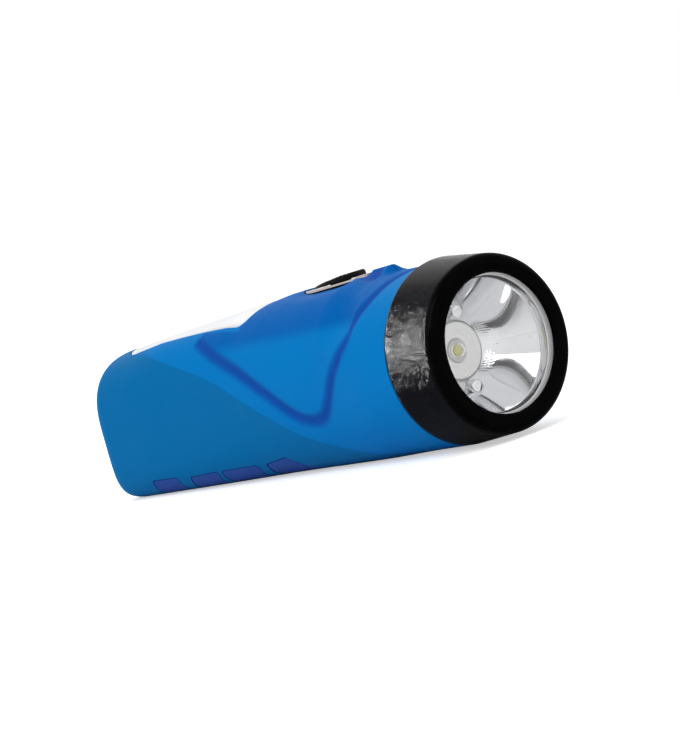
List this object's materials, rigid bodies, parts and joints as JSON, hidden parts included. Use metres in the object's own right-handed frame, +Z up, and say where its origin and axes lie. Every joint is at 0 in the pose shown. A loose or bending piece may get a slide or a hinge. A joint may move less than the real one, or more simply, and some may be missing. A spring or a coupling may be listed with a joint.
{
  "type": "rechargeable flashlight",
  "caption": "Rechargeable handheld torch with a round front lamp, a second lamp on top and a slide switch.",
  "frame": {"origin": "on the surface that the torch rests on, below the middle of its length", "axes": "+X along the beam, towards the front window; +Y to the torch's left; +Z up"},
  "size_m": [0.189, 0.056, 0.058],
  "materials": {
    "blue_shell": "fine matt moulding with a soft sheen",
    "grip_rubber": "matt indigo rubber with a fine grain",
    "black_gloss": "gloss black, grained on the bezel",
    "clear_window": "clear polished polycarbonate",
    "seal": "matt grey",
    "reflector_chrome": "vapour chrome, orange peel near the middle",
    "lamp_phosphor": "yellow phosphor under clear resin",
    "white_plastic": "satin white",
    "white_board": "white solder mask",
    "alloy": "turned, satin",
    "frosted_lens": "milky, frosted",
    "silver_plate": "satin silver",
    "green_board": "green solder mask",
    "component_black": "moulded epoxy",
    "can_sleeve": "dark blue sleeve",
    "bright_steel": "nickel plated",
    "cell_wrap": "plain green shrink wrap",
    "cradle_grey": "dark grey moulding",
    "black_rubber": "matt",
    "red_light": "clear red",
    "red_wire": "smooth insulation",
    "black_wire": "smooth insulation"
  },
  "bodies": {
    "body": {"right_shell": "blue_shell", "left_shell": "blue_shell", "right_grip_1": "grip_rubber", "right_grip_2": "grip_rubber", "right_grip_3": "grip_rubber", "right_grip_4": "grip_rubber", "left_grip_1": "grip_rubber", "left_grip_2": "grip_rubber", "left_grip_3": "grip_rubber", "left_grip_4": "grip_rubber", "bezel_ring": "black_gloss", "head_window": "clear_window", "window_gasket": "seal", "reflector": "reflector_chrome", "main_led": "lamp_phosphor", "top_led_1": "lamp_phosphor", "top_led_2": "lamp_phosphor", "top_led_3": "lamp_phosphor", "top_led_4": "lamp_phosphor", "top_led_5": "lamp_phosphor", "top_led_6": "lamp_phosphor", "led_spacer": "white_plastic", "lamp_tray": "white_plastic", "led_board": "white_board", "lamp_board": "white_board", "heat_sink": "alloy", "top_lens": "frosted_lens", "switch_plate": "silver_plate", "main_board": "green_board", "charge_chip": "component_black", "driver_chip": "component_black", "driver_inductor": "component_black", "charge_socket": "component_black", "filter_capacitor": "can_sleeve", "switch_case": "bright_steel", "positive_contact": "bright_steel", "negative_contact": "bright_steel", "heat_sink_screw_1": "bright_steel", "heat_sink_screw_2": "bright_steel", "case_screw_1": "bright_steel", "case_screw_2": "bright_steel", "case_screw_3": "bright_steel", "case_screw_4": "bright_steel", "battery_cell": "cell_wrap", "battery_cradle": "cradle_grey", "flap_anchor": "black_rubber", "charge_light": "red_light", "battery_positive_lead": "red_wire", "charge_positive_lead": "red_wire", "lamp_positive_lead": "red_wire", "top_lamp_positive_lead": "red_wire", "battery_negative_lead": "black_wire", "charge_negative_lead": "black_wire", "lamp_negative_lead": "black_wire", "top_lamp_negative_lead": "black_wire"},
    "slider": {"switch_slider": "black_gloss", "switch_toggle": "white_plastic"},
    "flap": {"charge_flap": "black_rubber"}
  },
  "joints": [
    {"name": "slider_slide", "type": "slide", "parent": "body", "child": "slider", "axis": [0.9991, 0, 0.042], "range_m": [-0.003, 0.003]},
    {"name": "flap_hinge", "type": "hinge", "parent": "body", "child": "flap", "pos_m": [-0.0945, 0, 0.027], "axis": [0, 1, 0], "range_deg": [0, 120], "stiffness_Nm_per_rad": 0.0004}
  ]
}
